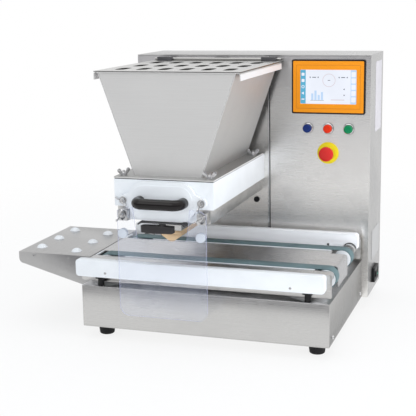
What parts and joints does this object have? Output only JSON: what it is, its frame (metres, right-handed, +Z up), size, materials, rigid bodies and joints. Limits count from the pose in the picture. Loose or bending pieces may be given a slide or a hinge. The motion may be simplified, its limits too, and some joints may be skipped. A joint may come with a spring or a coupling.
{
  "type": "cookie depositor",
  "caption": "Tabletop cookie depositor: a gridded dough hopper feeds fluted rollers above a lifting twin-belt tray conveyor, run from a cabinet with a touch screen.",
  "frame": {"origin": "floor level under the middle of the overall box", "axes": "+X along the conveyor to the machine's right, +Y from the front to the back, +Z up"},
  "size_m": [0.892, 0.7286, 0.709],
  "materials": {
    "stainless": "satin",
    "white_hdpe": "milled, satin",
    "black_plastic": "satin",
    "black_rubber": "matt",
    "belt_rubber": "fine weave, matt",
    "orange_film": "satin film",
    "lcd": "lit display",
    "blue_plastic": "gloss",
    "red_plastic": "gloss",
    "green_plastic": "gloss",
    "yellow_plastic": "satin",
    "ivory_plastic": "satin",
    "pale_brass": "milled",
    "gear_brass": "machined",
    "motor_paint": "satin",
    "unit_shell": "satin",
    "clear_sheet": "polished clear sheet"
  },
  "bodies": {
    "machine": {"base_tray": "stainless", "base_floor": "stainless", "cabinet_shell": "stainless", "head_panel": "stainless", "control_panel": "stainless", "rear_cover": "stainless", "die_rails": "stainless", "nozzle_holder": "stainless", "hopper": "stainless", "studs": "stainless", "wing_nuts": "stainless", "infeed_table": "stainless", "head_block": "white_hdpe", "front_cover": "white_hdpe", "table_glides": "white_hdpe", "guard_buffers": "white_hdpe", "touchscreen_housing": "black_plastic", "button_collars": "black_plastic", "power_inlet": "black_plastic", "sensors": "black_plastic", "pull_handle": "black_plastic", "clamp_strap": "black_plastic", "hinge_blocks": "black_plastic", "feet": "black_rubber", "hopper_gasket": "black_rubber", "touchscreen_film": "orange_film", "display": "lcd", "estop_disc": "yellow_plastic", "contact_blocks": "ivory_plastic", "nozzle_trough": "pale_brass", "nozzle_bar": "pale_brass", "feed_gearmotor": "motor_paint", "lift_actuator": "motor_paint", "control_unit": "unit_shell", "guard_sheet": "clear_sheet"},
    "grid": {"hopper_grid": "stainless"},
    "conveyor": {"conveyor_frame": "stainless", "front_rail": "white_hdpe", "rear_rail": "white_hdpe", "slider_bed": "stainless", "belt_front": "belt_rubber", "belt_rear": "belt_rubber", "belt_gearmotor": "motor_paint", "lift_posts": "black_plastic", "lift_rod": "stainless"},
    "drive_roll": {"drive_shaft": "stainless", "drive_pulleys": "white_hdpe"},
    "idle_roll": {"idle_shaft": "stainless", "idle_pulleys": "white_hdpe"},
    "feed_left": {"feed_roller_left": "stainless", "drive_gear": "gear_brass"},
    "feed_right": {"feed_roller_right": "stainless", "driven_gear": "gear_brass"},
    "blue_key": {"button_blue": "blue_plastic"},
    "red_key": {"button_red": "red_plastic"},
    "green_key": {"button_green": "green_plastic"},
    "estop_plunger": {"estop_stem": "black_plastic"},
    "estop_head": {"estop_mushroom": "red_plastic"},
    "mains_rocker": {"power_rocker": "green_plastic"},
    "lever": {"clamp_lever": "black_plastic"}
  },
  "joints": [
    {"name": "grid_hinge", "type": "hinge", "parent": "machine", "child": "grid", "pos_m": [0.01, 0.14125, 0.698], "axis": [-1, 0, 0], "range_deg": [0, 100]},
    {"name": "conveyor_lift", "type": "slide", "parent": "machine", "child": "conveyor", "axis": [0, 0, 1], "range_m": [0, 0.025]},
    {"name": "drive_roll_spin", "type": "hinge", "parent": "conveyor", "child": "drive_roll", "pos_m": [0.395, -0.08075, 0.1827], "axis": [0, 1, 0], "continuous": true},
    {"name": "idle_roll_spin", "type": "hinge", "parent": "conveyor", "child": "idle_roll", "pos_m": [-0.195, -0.08075, 0.1827], "axis": [0, 1, 0], "continuous": true},
    {"name": "feed_left_spin", "type": "hinge", "parent": "machine", "child": "feed_left", "pos_m": [-0.021, -0.08275, 0.381], "axis": [0, 1, 0], "continuous": true},
    {"name": "feed_right_spin", "type": "hinge", "parent": "machine", "child": "feed_right", "pos_m": [0.041, -0.08275, 0.381], "axis": [0, 1, 0], "continuous": true},
    {"name": "blue_key_push", "type": "slide", "parent": "machine", "child": "blue_key", "axis": [0, 1, 0], "range_m": [0, 0.004], "stiffness_N_per_m": 400, "springref_m": -0.002},
    {"name": "red_key_push", "type": "slide", "parent": "machine", "child": "red_key", "axis": [0, 1, 0], "range_m": [0, 0.004], "stiffness_N_per_m": 400, "springref_m": -0.002},
    {"name": "green_key_push", "type": "slide", "parent": "machine", "child": "green_key", "axis": [0, 1, 0], "range_m": [0, 0.004], "stiffness_N_per_m": 400, "springref_m": -0.002},
    {"name": "estop_push", "type": "slide", "parent": "machine", "child": "estop_plunger", "axis": [0, 1, 0], "range_m": [0, 0.004]},
    {"name": "estop_twist", "type": "hinge", "parent": "estop_plunger", "child": "estop_head", "pos_m": [0.3225, 0.13725, 0.441], "axis": [0, 1, 0], "range_deg": [0, 40], "stiffness_Nm_per_rad": 0.05},
    {"name": "rocker_tip", "type": "hinge", "parent": "machine", "child": "mains_rocker", "pos_m": [0.441, 0.28525, 0.079], "axis": [0, 1, 0], "range_deg": [0, 16]},
    {"name": "clamp_lever_turn", "type": "hinge", "parent": "machine", "child": "lever", "pos_m": [0.01, -0.31275, 0.312], "axis": [0, 0, 1], "range_deg": [0, 90]}
  ],
  "couplings": [
    {"joint": "idle_roll_spin", "follows": "drive_roll_spin", "ratio": 1},
    {"joint": "feed_right_spin", "follows": "feed_left_spin", "ratio": -1}
  ]
}
